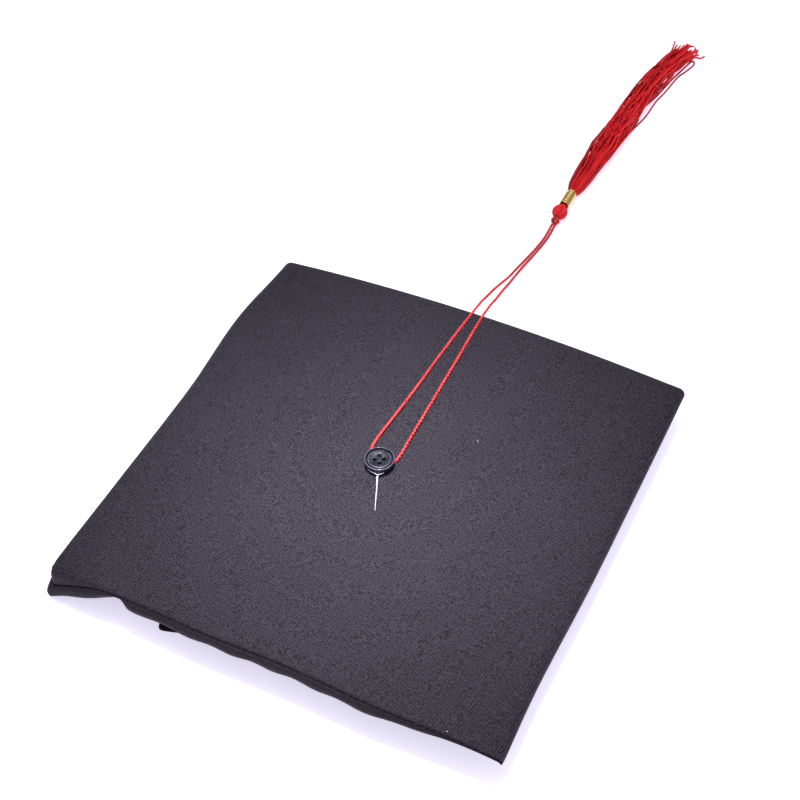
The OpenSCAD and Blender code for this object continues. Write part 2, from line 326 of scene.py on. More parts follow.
class Nodes:
    """A material's node tree, with short calls to add to it."""

    def __init__(self, name):
        self.material = bpy.data.materials.new(name)
        self.material.use_nodes = True
        self.tree = self.material.node_tree
        self.shader = self.tree.nodes["Principled BSDF"]

    def add(self, kind, values=(), **settings):
        node = self.tree.nodes.new(kind)
        for key, value in settings.items():
            setattr(node, key, value)
        for i, value in enumerate(values):
            self.put(node.inputs[i], value)
        return node

    def put(self, socket, value):
        if isinstance(value, bpy.types.NodeSocket):
            self.tree.links.new(value, socket)
        elif value is not None:
            socket.default_value = value

    def math(self, operation, *values):
        return self.add("ShaderNodeMath", values, operation=operation).outputs[0]

    def wave(self, a, b, along_a, along_b):
        """sin of a phase that turns along_a times per unit of a, and along_b times per unit of b."""
        phase = self.math("ADD", self.math("MULTIPLY", a, along_a), self.math("MULTIPLY", b, along_b))
        return self.math("SINE", self.math("MULTIPLY", phase, TURN))

    def noise(self, vector, scale, detail, roughness=0.5):
        node = self.add("ShaderNodeTexNoise")
        self.put(node.inputs["Vector"], vector)
        node.inputs["Scale"].default_value = scale
        node.inputs["Detail"].default_value = detail
        node.inputs["Roughness"].default_value = roughness
        return node.outputs[0]

    def ramp(self, value, stops):
        node = self.add("ShaderNodeValToRGB", [value])
        ramp = node.color_ramp
        while len(ramp.elements) < len(stops):
            ramp.elements.new(0.5)
        for element, (place, colour) in zip(ramp.elements, stops):
            element.position = place
            element.color = (*colour, 1)
        return node.outputs[0]

    def mix(self, share, a, b):
        node = self.add("ShaderNodeMix", data_type="RGBA", blend_type="MIX")
        self.put(node.inputs[0], share)
        for socket, value in ((node.inputs[6], a), (node.inputs[7], b)):
            self.put(socket, (*value, 1) if isinstance(value, tuple) else value)
        return node.outputs[2]

    def bump(self, height, strength, distance):
        node = self.add("ShaderNodeBump")
        node.inputs["Strength"].default_value = strength
        node.inputs["Distance"].default_value = distance
        self.put(node.inputs["Height"], height)
        self.put(self.shader.inputs["Normal"], node.outputs[0])

    def set(self, **values):
        for key, value in values.items():
            self.put(self.shader.inputs[key.replace("_", " ")], value)

    def spot(self):
        """The object-space place, in metres."""
        return self.add("ShaderNodeTexCoord").outputs["Object"]

    def place(self):
        """The object-space place, and two coordinates in the plane that the surface faces, in metres."""
        coordinates = self.add("ShaderNodeTexCoord")
        place = coordinates.outputs["Object"]
        x, y, z = self.add("ShaderNodeSeparateXYZ", [place]).outputs[:3]
        facing = self.add("ShaderNodeSeparateXYZ", [coordinates.outputs["Normal"]]).outputs
        nx, ny, nz = (self.math("ABSOLUTE", facing[i]) for i in range(3))
        flat = self.math("GREATER_THAN", nz, 0.6)
        sideways = self.math("MULTIPLY", self.math("GREATER_THAN", nx, ny), self.math("SUBTRACT", 1.0, flat))
        a = self.blended(sideways, x, y)
        b = self.blended(flat, z, y)
        return place, a, b

    def blended(self, share, a, b):
        node = self.add("ShaderNodeMix")
        self.put(node.inputs[0], share)
        self.put(node.inputs[2], a)
        self.put(node.inputs[3], b)
        return node.outputs[0]


BLACK_DYE = (0.002, 0.0018, 0.003)


def twill(name, light, sheen, contrast=1.05, lint=False):
    """Black woven polyester: a fine diagonal weave, uneven dye, and lint where asked for."""
    n = Nodes(name)
    place, a, b = n.place()
    rib = n.wave(a, b, 790, -80)
    cross = n.wave(a, b, -190, -680)
    grain = n.noise(place, 1350, 1.0)
    weave_height = n.math("ADD", n.math("MULTIPLY", rib, 0.15), n.math("MULTIPLY", cross, 0.09))
    tone = n.math("ADD", n.math("MULTIPLY", weave_height, contrast), n.math("MULTIPLY", grain, 2 * contrast))
    tone = n.math("SUBTRACT", tone, contrast - 0.5)
    cloud = n.noise(place, 26, 3.0)
    tone = n.math("ADD", tone, n.math("MULTIPLY", n.math("SUBTRACT", cloud, 0.5), 0.12))
    colour = n.ramp(tone, [(0.0, BLACK_DYE), (1.0, light)])
    if lint:
        cells = n.add("ShaderNodeTexVoronoi")
        n.put(cells.inputs["Vector"], place)
        cells.inputs["Scale"].default_value = 75
        speck = n.math("LESS_THAN", cells.outputs["Distance"], 0.022)
        draw = n.add("ShaderNodeSeparateColor", [cells.outputs["Color"]]).outputs[0]
        chosen = n.math("GREATER_THAN", draw, 0.8)
        colour = n.mix(n.math("MULTIPLY", speck, chosen), colour, (0.5, 0.47, 0.4))
    n.set(Base_Color=colour, Roughness=0.72, Sheen_Weight=sheen, Sheen_Roughness=0.35)
    n.set(Sheen_Tint=(0.86, 0.8, 1.0, 1), Specular_IOR_Level=0.12)
    n.bump(n.math("ADD", weave_height, n.math("MULTIPLY", grain, 0.8)), 0.35, 0.00012)
    return n.material


def plain_fabric(name, dark, light, roughness, bump, scale=900.0):
    """A matt or satin material of fibres with no clear weave."""
    n = Nodes(name)
    place = n.spot()
    fibres = n.noise(place, scale, 3.0, 0.6)
    cloud = n.noise(place, 45, 2.0)
    tone = n.math("ADD", n.math("MULTIPLY", fibres, 0.7), n.math("MULTIPLY", cloud, 0.4))
    n.set(Base_Color=n.ramp(tone, [(0.25, dark), (0.85, light)]), Roughness=roughness, Sheen_Weight=0.2)
    n.bump(fibres, bump, 0.0002)
    return n.material


def yarn(name, dark, middle, light, pitch, contrast=0.26, own_tone=0.0):
    """Twisted rayon: two plies that wind round once every pitch, with fibres along them.

    contrast is how strong the painted highlight and painted shade are in stripes along the twist, and
    own_tone how far a bundle's threads differ from each other.
    """
    n = Nodes(name)
    uv = n.add("ShaderNodeUVMap", uv_map="lay").outputs[0]
    u, v, _ = n.add("ShaderNodeSeparateXYZ", [uv]).outputs[:3]
    # Painted highlight and painted shade: light and dark stripes that wind along the twist
    strand = n.wave(u, v, 2.0, -2 / pitch)
    fibre = n.wave(u, v, 11.0, 1.6)
    place = n.spot()
    uneven = n.noise(place, 240, 2.0)
    cloud = n.noise(place, 30, 2.0)
    tone = n.math("ADD", n.math("MULTIPLY", strand, contrast), n.math("MULTIPLY", fibre, 0.08))
    tone = n.math("ADD", tone, n.math("MULTIPLY", uneven, 0.55))
    tone = n.math("ADD", tone, n.math("MULTIPLY", cloud, 0.4))
    thread = n.math("FLOOR", n.math("MULTIPLY", u, 0.5))
    own = n.add("ShaderNodeTexWhiteNoise", noise_dimensions="1D")
    n.put(own.inputs["W"], thread)
    tone = n.math("ADD", tone, n.math("MULTIPLY", n.math("SUBTRACT", own.outputs[0], 0.5), own_tone))
    n.set(Base_Color=n.ramp(tone, [(0.1, dark), (0.5, middle), (0.95, light)]), Roughness=0.42)
    n.set(Specular_IOR_Level=0.22)
    n.bump(n.math("ADD", n.math("MULTIPLY", strand, 0.8), fibre), 0.25, 0.0002)
    return n.material


def button_material():
    n = Nodes("button_plastic")
    place = n.spot()
    speckle = n.noise(place, 1500, 2.0)
    streak = n.noise(place, 350, 3.0)
    tone = n.math("ADD", n.math("MULTIPLY", speckle, 0.6), n.math("MULTIPLY", streak, 0.4))
    colour = n.ramp(tone, [(0.35, (0.003, 0.003, 0.007)), (0.7, (0.02, 0.02, 0.034))])
    x, y, _ = n.add("ShaderNodeSeparateXYZ", [place]).outputs[:3]
    reach = n.math("SQRT", n.math("ADD", n.math("MULTIPLY", x, x), n.math("MULTIPLY", y, y)))
    # Painted highlight: the plastic is painted pale along its rim and along the inner edge of its groove,
    # where highlights fall
    rim = n.math("MULTIPLY", n.math("ABSOLUTE", n.math("SUBTRACT", reach, 0.00735)), 3500)
    inner = n.math("MULTIPLY", n.math("ABSOLUTE", n.math("SUBTRACT", reach, 0.0057)), 4500)
    painted_rim_highlight = n.math("SUBTRACT", 1.0, n.math("MINIMUM", rim, inner))
    painted_rim_highlight = n.math("MULTIPLY", n.math("MAXIMUM", painted_rim_highlight, 0.0), n.math("ADD", 0.2, streak))
    colour = n.mix(painted_rim_highlight, colour, (0.16, 0.16, 0.23))
    n.set(Base_Color=colour, Specular_IOR_Level=0.3, Coat_Weight=0.15)
    n.set(Roughness=n.math("ADD", 0.16, n.math("MULTIPLY", streak, 0.25)))
    n.bump(tone, 0.35, 0.00015)
    return n.material


def glue_material():
    n = Nodes("hot_glue")
    place = n.spot()
    cloud = n.noise(place, 700, 2.0)
    n.set(Base_Color=n.ramp(cloud, [(0.3, (0.72, 0.73, 0.9)), (0.7, (0.95, 0.95, 1.0))]))
    n.set(Roughness=0.12, Transmission_Weight=0.5, IOR=1.48, Subsurface_Weight=0.3, Coat_Weight=0.6)
    n.shader.inputs["Subsurface Radius"].default_value = (0.001, 0.001, 0.0012)
    n.bump(cloud, 0.2, 0.0001)
    return n.material


def gold_material():
    n = Nodes("gold_wire")
    scratch = n.noise(n.spot(), 1800, 3.0)
    uv = n.add("ShaderNodeUVMap", uv_map="lay").outputs[0]
    round_wire = n.add("ShaderNodeSeparateXYZ", [uv]).outputs[0]
    facing_out = n.math("COSINE", n.math("MULTIPLY", round_wire, TURN))
    bright = n.ramp(scratch, [(0.3, (0.8, 0.5, 0.13)), (0.7, (1.0, 0.78, 0.36))])
    # Painted shade: the wire is painted dark brown where it faces the next turn, in the grooves between the
    # turns
    painted_groove_shade_mix = n.ramp(facing_out, [(0.3, (0, 0, 0)), (0.95, (1, 1, 1))])
    colour = n.mix(painted_groove_shade_mix, (0.05, 0.02, 0.004), bright)
    n.set(Base_Color=colour, Metallic=1.0, Roughness=n.math("ADD", 0.05, n.math("MULTIPLY", scratch, 0.16)))
    n.bump(scratch, 0.08, 0.0001)
    return n.material


def card_material():
    n = Nodes("card")
    place = n.spot()
    pulp = n.noise(place, 600, 4.0, 0.7)
    n.set(Base_Color=n.ramp(pulp, [(0.3, (0.33, 0.24, 0.15)), (0.7, (0.52, 0.4, 0.27))]), Roughness=0.85)
    n.bump(pulp, 0.3, 0.0002)
    return n.material


def wood_material():
    n = Nodes("bead_wood")
    place, a, b = n.place()
    grain = n.noise(place, 400, 3.0)
    ring = n.math("ADD", n.math("MULTIPLY", n.wave(a, b, 900.0, 150.0), 0.25), grain)
    n.set(Base_Color=n.ramp(ring, [(0.2, (0.42, 0.27, 0.14)), (0.9, (0.7, 0.52, 0.32))]), Roughness=0.6)
    n.bump(ring, 0.2, 0.0001)
    return n.material


cap_fabric = twill("cap_fabric", (0.0445, 0.0385, 0.055), 0.07)
board_fabric = twill("board_fabric", (0.0445, 0.0385, 0.055), 0.07, lint=True)
# Painted shade: the cap's own fabric, painted darker and with less sheen for the front band, the underside,
# the headband and the front point, which get less light
band_fabric = twill("band_fabric", (0.03, 0.026, 0.036), 0.05, contrast=0.6)
lining_fabric = plain_fabric("lining_fabric", (0.008, 0.007, 0.009), (0.035, 0.032, 0.04), 0.45, 0.15)
wadding_fabric = plain_fabric("wadding", (0.72, 0.71, 0.7), (0.88, 0.87, 0.86), 0.95, 0.8, 350.0)
elastic_fabric = plain_fabric("elastic", (0.6, 0.6, 0.58), (0.86, 0.86, 0.84), 0.7, 0.6, 1200.0)
thread_fabric = plain_fabric("sewing_thread", (0.006, 0.005, 0.008), (0.03, 0.027, 0.035), 0.5, 0.4, 3000.0)
# Each yarn's light colour is partly the painted highlight of its stripes, partly its uneven dye
cord_yarn = yarn(
    "red_cord", (0.28, 0.0, 0.002), (0.72, 0.016, 0.022), (1.0, 0.13, 0.135), CORD_PITCH, contrast=0.5,
)
skirt_yarn = yarn(
    "red_thread", (0.22, 0.0, 0.001), (0.9, 0.004, 0.01), (1.0, 0.05, 0.055), THREAD_PITCH, own_tone=0.6,
)
bead_yarn = yarn(
    "red_bead_thread", (0.5, 0.0, 0.002), (1.0, 0.02, 0.025), (1.0, 0.06, 0.065), THREAD_PITCH, own_tone=0.5,
)
button_plastic = button_material()
hot_glue = glue_material()
gold_wire = gold_material()
card = card_material()
bead_wood = wood_material()

make_camera()
make_studio()


# ---- The cord, which comes first ----

# Up from the knot, over the board's rear edge, round under the button and back
LEFT_RUN = [
    [-0.0009, 0.231, 0.0026], [-0.001, 0.22, 0.0012], [-0.002, 0.209, 0.001], [-0.0037, 0.196, 0.0016],
    [-0.0045, 0.186, 0.0034], [-0.0042, 0.173, 0.0076], [-0.0036, 0.159, 0.0144], [-0.0026, 0.146, 0.0212],
    [-0.0018, 0.136, 0.0258],
]
LOOP = [
    [-0.0017, 0.128, 0.0288], [-0.0022, 0.118, 0.0297], [-0.0036, 0.096, 0.0303], [-0.0047, 0.074, 0.0307],
    [-0.0056, 0.052, 0.0309], [-0.007, 0.032, 0.0309], [-0.0084, 0.014, 0.0308], [-0.0079, 0.006, 0.0307],
    [-0.0061, 0.0008, 0.0306], [-0.0033, -0.0026, 0.0306], [0, -0.0038, 0.0306], [0.0033, -0.0026, 0.0306],
    [0.0058, 0.001, 0.0306], [0.007, 0.008, 0.0307], [0.0067, 0.024, 0.0309], [0.0061, 0.048, 0.0309],
    [0.0053, 0.076, 0.0307], [0.0042, 0.104, 0.0301], [0.0038, 0.118, 0.0297], [0.004, 0.128, 0.0288],
]
RIGHT_RUN = [
    [0.0036, 0.136, 0.0258], [0.0022, 0.146, 0.0212], [0.0004, 0.159, 0.0144], [-0.0015, 0.173, 0.0076],
    [-0.0022, 0.186, 0.0034], [-0.0017, 0.196, 0.0016], [-0.0002, 0.209, 0.001], [0.0008, 0.22, 0.0012],
    [0.0009, 0.231, 0.0026],
]
PLY_OFFSET = 0.27


def make_cord():
    route = smooth_route(np.array(LEFT_RUN + LOOP + RIGHT_RUN) / MM, 8)
    line = evenly(route, 0.36)
    points, faces, uv = tube(line, CORD_D / 2, 14, CORD_PITCH, 2, PLY_OFFSET)
    cord = piece("tassel_cord", points, faces, cord_yarn, uv=uv)
    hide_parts("cord_loop", "cord_run_left", "cord_run_right")
    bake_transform(cord)
    return cord, line


cord, cord_line = make_cord()


# ---- The board's surface, in millimetres ----

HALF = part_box("top_cover")[1].x / MM
CORNER_HEIGHT = 22.0
DOME, REAR_BOW, FRONT_BOW = 7.6, 6.6, 2.5
STACK = 7.6
FOLD_FRONT, FOLD_SIDE = 34.0, 14.0
CORNER_DROOP = 11.8


def board_top(x, y):
    """The height of the board's top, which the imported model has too."""
    u = np.clip(x / HALF, -1, 1)
    t = np.clip(y / HALF, -1, 1)
    arch = DOME + (REAR_BOW - FRONT_BOW) / 2 * t + ((REAR_BOW + FRONT_BOW) / 2 - DOME) * t * t
    return CORNER_HEIGHT + (1 - u * u) * arch


def corner_hang(x, y):
    """How far the underside hangs at the limp front left corner, beyond its slanted fold line."""
    share = 1 - np.maximum(x + HALF, 0) / FOLD_FRONT - np.maximum(y + HALF, 0) / FOLD_SIDE
    soft = 0.06
    return CORNER_DROOP * soft * np.logaddexp(0, share / soft)


# The padding lifts the top most at PUFF_REACH in from the edge
PUFF_HEIGHT = 0.8
PUFF_REACH = 11.0


def edge_puff(inset):
    """How far the padding lifts the top, at a distance in from the edge."""
    d = np.maximum(inset, 0) / PUFF_REACH
    return PUFF_HEIGHT * d * np.exp(1 - d)


def outline_shift(x, y):
    """How far the real outline strays from the square, as the change of x and y."""
    left = np.clip(-x / HALF, 0, 1)
    right = np.clip(x / HALF, 0, 1)
    front = np.clip(-y / HALF, 0, 1)
    dx = -4.0 * bell(y, 66, 38) * left ** 3
    dx = dx - 1.8 * bell(y, -80, 45) * right ** 3
    dy = 0.5 * np.sin(x / 14 + 0.6) * front ** 8
    return dx, dy


# The edge in section: how far out from the square, and how far below the top
SIDE_EDGE = [
    (-6, 0), (-4.4, 0.12), (-3, 0.4), (-1.8, 0.95), (-0.8, 1.8), (-0.2, 2.9), (0, 4),
    (-0.3, 5.2), (-1.1, 6.3), (-2.3, 7.1), (-3.8, 7.5), (-5.8, 7.6), (-8, 7.6),
]
FRONT_BAND = [
    (-6, 0), (-4, -0.15), (-2.4, -0.3), (-1.1, -0.25), (-0.35, 0.25), (-1.2, 1.3), (0.2, 0.95),
    (1.0, 1.7), (1.6, 3.3), (1.6, 5.4), (0.8, 7.3), (-1.4, 8.4), (-8, 7.6),
]
TUCKED_BAND = [
    (-6, 0), (-4, -0.15), (-2.4, -0.3), (-1.1, -0.25), (-0.35, 0.25), (-1.1, 1.25), (0.0, 1.0),
    (0.1, 1.4), (-0.3, 1.9), (-1.4, 2.8), (-3.0, 4.2), (-5.0, 6.0), (-8, 7.6),
]
HANGING_BAND = [
    (-6, 0), (-4, 0.1), (-2.3, 0.5), (-0.9, 1.7), (-0.2, 11.2), (-0.7, 12.1), (0.6, 12.2),
    (1.4, 13.6), (2.1, 15.6), (2.6, 17.8), (2.4, 19.6), (0.6, 20.5), (-8, 7.6),
]
HANGING_SIDE = [
    (-6, 0), (-4.4, 0.35), (-3, 0.5), (-1.8, 0.9), (-0.9, 1.8), (-0.3, 3.4), (-0.9, 6.5),
    (0.2, 10), (1.4, 13.2), (2.4, 16.4), (2.3, 19.2), (0.2, 20.5), (-8, 7.6),
]
SEAM_ROW = 5


def edge_lines(spacing, half=HALF):
    """Grid lines from -1 to 1, closer together at both ends."""
    close = np.array([0, 0.7, 1.6, 2.8, 4.4, 6.5])
    middle = np.linspace(-half + 9, half - 9, max(2, round((2 * half - 18) / spacing) + 1))
    return np.concatenate([-half + close, middle, (half - close)[::-1]]) / half


def perimeter(columns, rows):
    """Index pairs (column, row) once round a grid's edge, from the front left corner."""
    front = [(i, 0) for i in range(columns - 1)]
    right = [(columns - 1, j) for j in range(rows - 1)]
    rear = [(i, rows - 1) for i in range(columns - 1, 0, -1)]
    left = [(0, j) for j in range(rows - 1, 0, -1)]
    return front + right + rear + left


def edge_sections(gx, gy, half):
    """For each place round the edge, its section as (out, below) pairs."""
    x, y = gx * half, gy * half
    front = smoothstep((-y - half + 6) / 5) * smoothstep((half - abs(x) + 1.5) / 4)
    corner_c = smoothstep((x - 46) / 76)
    pinch = bell(x, -78, np.where(x < -78, 8.5, 3.6))
    tuck = np.clip(corner_c + pinch, 0, 1)
    hang = np.clip((-x - 86) / 31, 0, 1) ** 1.35
    hang_side = smoothstep(1 - (y + half) / 16) * (x < 0)
    side, band, tucked, hanging, hanging_side = (
        np.array(s, float) for s in (SIDE_EDGE, FRONT_BAND, TUCKED_BAND, HANGING_BAND, HANGING_SIDE)
    )
    side = side[None] + hang_side[:, None, None] * (hanging_side - side)[None]
    ripple = np.sin(TURN * x / 25 + 1.1 * np.sin(x / 23)) * (1 - tuck)
    shape = band[None] + hang[:, None, None] * (hanging - band)[None]
    shape = shape + tuck[:, None, None] * (tucked[None] - shape)
    rows = np.arange(len(band))
    low = smoothstep((rows - 6) / 4) * (rows < len(band) - 1)
    shape[:, :, 1] += ripple[:, None] * low * 0.3
    shape[:, :, 0] += ripple[:, None] * low * 0.25
    return side + front[:, None, None] * (shape - side)


def slab(lines_x, lines_y, half, sections, height):
    """A closed slab: a top grid, rings round the edge, and a bottom grid."""
    columns, rows = len(lines_x), len(lines_y)
    round_edge = perimeter(columns, rows)
    gx = np.array([lines_x[i] for i, _ in round_edge])
    gy = np.array([lines_y[j] for _, j in round_edge])
    shape = sections(gx, gy, half)
    corner = np.minimum(abs(gx), abs(gy))
    corner_r = 3.0 / half
    is_sharp = (gx > 0) & (gy < 0)
    recede = np.where(is_sharp, 0.1, 0.29) * corner_r
    pull = 1 - recede * np.maximum(0, (corner - 1 + corner_r) / corner_r) ** 2

    def plane(inset, below):
        x, y = np.meshgrid(lines_x * (half - inset), lines_y * (half - inset))
        return np.stack([x, y, height(x, y, np.full_like(x, below))], -1).reshape(-1, 3)

    points = [plane(-shape[0, 0, 0], shape[0, 0, 1])]
    for k in range(1, shape.shape[1] - 1):
        out, below = shape[:, k, 0], shape[:, k, 1]
        x, y = gx * (half + out) * pull, gy * (half + out) * pull
        points.append(np.stack([x, y, height(x, y, below)], -1))
    bottom_inset, bottom_below = -shape[0, -1, 0], shape[0, -1, 1]
    points.append(plane(bottom_inset, bottom_below))
    points = np.vstack(points)

    grid, ring = columns * rows, len(round_edge)
    top_edge = [j * columns + i for i, j in round_edge]
    ring_count = shape.shape[1] - 2
    bottom_start = grid + ring_count * ring
    loops = [top_edge]
    loops += [list(range(grid + k * ring, grid + (k + 1) * ring)) for k in range(ring_count)]
    loops += [[bottom_start + v for v in top_edge]]
    faces = {"top": [], "bottom": [], "rings": []}
    for j in range(rows - 1):
        for i in range(columns - 1):
            a = j * columns + i
            faces["top"].append((a, a + 1, a + columns + 1, a + columns))
            b = bottom_start + a
            faces["bottom"].append((b, b + columns, b + columns + 1, b + 1))
    for upper, lower in zip(loops, loops[1:]):
        faces["rings"].append([
            (upper[k], lower[k], lower[(k + 1) % ring], upper[(k + 1) % ring]) for k in range(ring)
        ])
    return points, faces, gy


def cover_height(x, y, below):
    """The cover's surface: the board's top, lifted a little by the padding near the edge."""
    inset = HALF - np.maximum(abs(x), abs(y))
    soft = -6 * np.log(np.exp(-(HALF - abs(x)) / 6) + np.exp(-(HALF - abs(y)) / 6))
    lift = edge_puff(np.where(inset > 0, soft, 0)) * np.where(below > 4, 0, 1)
    crease = 0.3 * bell(x, -HALF + 4.6, 0.9) * smoothstep((-y - 40) / 40) * (below < 1)
    hang = corner_hang(x, y) * (inset > 6) * (below > 7.55)
    return board_top(x, y) - below + lift - crease - hang


def split_mesh(points, faces):
    """Only the points that the faces use, renumbered."""
    used = sorted({v for f in faces for v in f})
    place = {v: k for k, v in enumerate(used)}
    return points[used], [tuple(place[v] for v in f) for f in faces]


def make_covers():
    lines_x, lines_y = edge_lines(2.0), edge_lines(2.6)
    points, faces, gy = slab(lines_x, lines_y, HALF, edge_sections, cover_height)
    x, y = points[:, 0].copy(), points[:, 1].copy()
    wrinkle = 0.12 * waver(3, x * 0.8 + y * 0.6, 66) * waver(4, y * 0.9 - x * 0.3, 80)
    wrinkle *= 1 - bell(x, 0, 18) * smoothstep((y + 30) / 20)
    points[:, 2] += wrinkle * (points[:, 2] > board_top(x, y) - 3)
    dx, dy = outline_shift(x, y)
    points[:, 0] += dx
    points[:, 1] += dy
    top_faces, bottom_faces = list(faces["top"]), list(faces["bottom"])
    ring = len(gy)
    for level, faces_here in enumerate(faces["rings"]):
        for k, face in enumerate(faces_here):
            on_front = gy[k] < -0.9999 and gy[(k + 1) % ring] < -0.9999
            under_seam = level >= (SEAM_ROW if on_front else 9)
            (bottom_faces if under_seam else top_faces).append(face)
    top = shell(piece("board_top_cover", *split_mesh(points, top_faces), board_fabric), 0.5)
    bottom = shell(piece("board_bottom_cover", *split_mesh(points, bottom_faces), band_fabric), 0.5)
    finish_piece(top, "cap_fabric", "board", "top_cover")
    finish_piece(bottom, "cap_fabric", "board", "bottom_cover")


make_covers()


# The wadding's edge in section, like the ones above
WADDING_EDGE = [
    (-5, 1.1), (-3, 1.25), (-1.4, 1.7), (-0.5, 2.5), (-0.5, 3.4), (-1.4, 4.3), (-3, 4.8), (-6, 4.85),
]
WADDING_MARGIN = 3.5


def make_wadding():
    half = HALF - WADDING_MARGIN

    def rounded(gx, gy, _):
        return np.array([WADDING_EDGE] * len(gx), float)

    def height(x, y, below):
        return board_top(x, y) - below + 0.1 * waver(8, x + 0.5 * y, 30) * (below < 2)

    points, faces, _ = slab(edge_lines(6, half), edge_lines(6, half), half, rounded, height)
    every = faces["top"] + faces["bottom"] + [f for r in faces["rings"] for f in r]
    wadding = piece("board_wadding", points, every, wadding_fabric)
    finish_piece(wadding, "wadding", "board", "top_padding")


make_wadding()

# ---- Skull cap, drawn with its front along X and turned to its bearing ----

BEARING = math.radians(-116)
POINT_BEARING = math.radians(-118.2)
BAND_A, BAND_B = 100.4, 82.4
BAND_H = 8.0


def turned(points, bearing=BEARING):
    """Points of the skull cap, turned to its bearing."""
    c, s = math.cos(bearing), math.sin(bearing)
    out = np.array(points, float)
    out[..., 0], out[..., 1] = (
        c * points[..., 0] - s * points[..., 1],
        s * points[..., 0] + c * points[..., 1],
    )
    return out


def oval(angle, inset, rise):
    """Points on the head opening's oval, inset from the headband's outside, at a height."""
    x = (BAND_A - inset) * np.cos(angle)
    y = (BAND_B - inset) * np.sin(angle)
    return np.stack(np.broadcast_arrays(x, y, rise), -1)


def band(name, section, angles, material, wave, closed=True):
    """A strip round the oval. section is a closed loop of (inset, height), wave changes both along it."""
    rings = []
    for angle in angles:
        inset, rise = wave(angle, section[:, 0], section[:, 1])
        rings.append(oval(np.full(len(section), angle), inset, rise))
    points = turned(np.array(rings)).reshape(-1, 3)
    rows, columns = len(angles), len(section)
    faces = grid_faces(rows, columns, closed=True)
    if closed:
        faces += [
            ((rows - 1) * columns + j, (rows - 1) * columns + (j + 1) % columns, (j + 1) % columns, j)
            for j in range(columns)
        ]
    else:
        faces.append(tuple(range(columns - 1, -1, -1)))
        faces.append(tuple((rows - 1) * columns + j for j in range(columns)))
    return piece(name, points, [f[::-1] for f in faces], material)


def strip_section(inset, thickness, low, high):
    """A flat strip's section with rounded edges, as (inset, height) points."""
    r = thickness / 2
    steps = np.linspace(0, math.pi, 5)
    bottom = [(inset + r - r * math.cos(t), low + r - r * math.sin(t)) for t in steps]
    inner = [(inset + thickness, z) for z in np.linspace(low + r, high - r, 6)[1:-1]]
    top = [(inset + r + r * math.cos(t), high - r + r * math.sin(t)) for t in steps]
    outer = [(inset, z) for z in np.linspace(high - r, low + r, 6)[1:-1]]
    return np.array(bottom + inner + top + outer)


def make_headband():
    angles = np.linspace(0, TURN, 361)[:-1]

    def wave(angle, inset, rise):
        bulge = 0.3 * math.sin(5 * angle + 1) + 0.16 * math.sin(13 * angle)
        high = rise / BAND_H
        return inset - bulge * high * 0.6, rise * (1 + 0.02 * math.sin(9 * angle))

    headband = band("headband_cloth", strip_section(0, 1.5, 0, BAND_H), angles, band_fabric, wave)
    finish_piece(headband, "cap_fabric", "root", "headband")
    section = strip_section(1.65, 0.7, 0.5, BAND_H - 0.2)
    inner = band("sweatband_cloth", section, sweat_angles(), lining_fabric, wave, False)
    finish_piece(inner, "lining_fabric", "root", "sweatband")


def sweat_angles():
    """Angles round the oval, apart from the part that the gathered casing takes up at the back."""
    return np.linspace(-0.795, 0.795, 260) * math.pi


def make_casing():
    angles = math.pi + np.linspace(-0.203, 0.203, 240) * math.pi

    def gathers(angle, inset, rise):
        fold = math.sin(angle * 74 + 0.8 * math.sin(angle * 11))
        deep = np.clip((inset - 1.6) / 2.6, 0, 1)
        return inset - 0.35 * fold * (1 - deep) + 0.45 * fold * deep, rise + 0.12 * fold

    section = strip_section(1.6, 2.6, 0.5, BAND_H - 0.1)
    casing = band("elastic_casing_cloth", section, angles, cap_fabric, gathers, False)
    finish_piece(casing, "cap_fabric", "root", "elastic_casing")

    def ribs(angle, inset, rise):
        return inset + 0.08 * math.sin(angle * 74), rise

    elastic = band("elastic_strip", strip_section(2.4, 1.0, 1.6, 6.3), angles, elastic_fabric, ribs, False)
    finish_piece(elastic, "elastic", "root", "rear_elastic")


make_headband()
make_casing()

WALL_LOW = 8.0
RISE = 60.0


def wall_rows(count):
    """Shares of the wall's height at rest whose rows are evenly spaced once the cap is open."""
    share = np.linspace(0, 1, 400)
    opened = 12 * share + RISE * smoothstep(share)
    return np.interp(np.linspace(0, opened[-1], count), opened, share)


def make_wall(name, angles, inset, folds, seed, material, node, drop=0.0):
    """Part of the crown's wall: crumpled between the headband and the board, and drawn out when worn."""
    shares = wall_rows(44)
    along = np.linspace(0, 1, len(shares))
    rows = []
    for share, s in zip(shares, along):
        phase = TURN * (2.6 * s) + 1.1 * waver(seed, angles, 1.3) + 0.5 * waver(seed + 1, angles, 0.37)
        gather = 0.5 * waver(seed + 2, angles + 0.3 * s, 0.22) * math.exp(-((s - 0.05) / 0.2) ** 2)
        calm = smoothstep(s / 0.12) * smoothstep((1 - s) / 0.1)
        away = inset + (folds * (0.55 - np.sin(phase)) + gather) * calm
        edge = oval(angles, inset, 0.0)
        top = turned(edge)
        ceiling = board_top(top[:, 0], top[:, 1]) - STACK - 0.3 - drop
        low = WALL_LOW - 0.9
        rows.append(oval(angles, away, low + (ceiling - low) * share))
    points = turned(np.array(rows)).reshape(-1, 3)
    wall = piece(name, points, [f[::-1] for f in grid_faces(len(rows), len(angles))], material)
    wall = applied(shell(wall, 0.5))
    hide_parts(node)
    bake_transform(wall)
    return wall


def make_crown():
    left = np.linspace(0.0, math.pi, 170)
    right = np.linspace(math.pi, TURN, 170)
    make_wall("crown_wall_left", left, 0.9, 1.0, 11, cap_fabric, "crown_panel_left")
    make_wall("crown_wall_right", right, 0.9, 1.0, 11, cap_fabric, "crown_panel_right")
    ring = np.linspace(0, TURN, 300)
    make_wall("crown_wall_lining", ring, 4.9, 1.1, 23, lining_fabric, "crown_lining", 0.6)


make_crown()


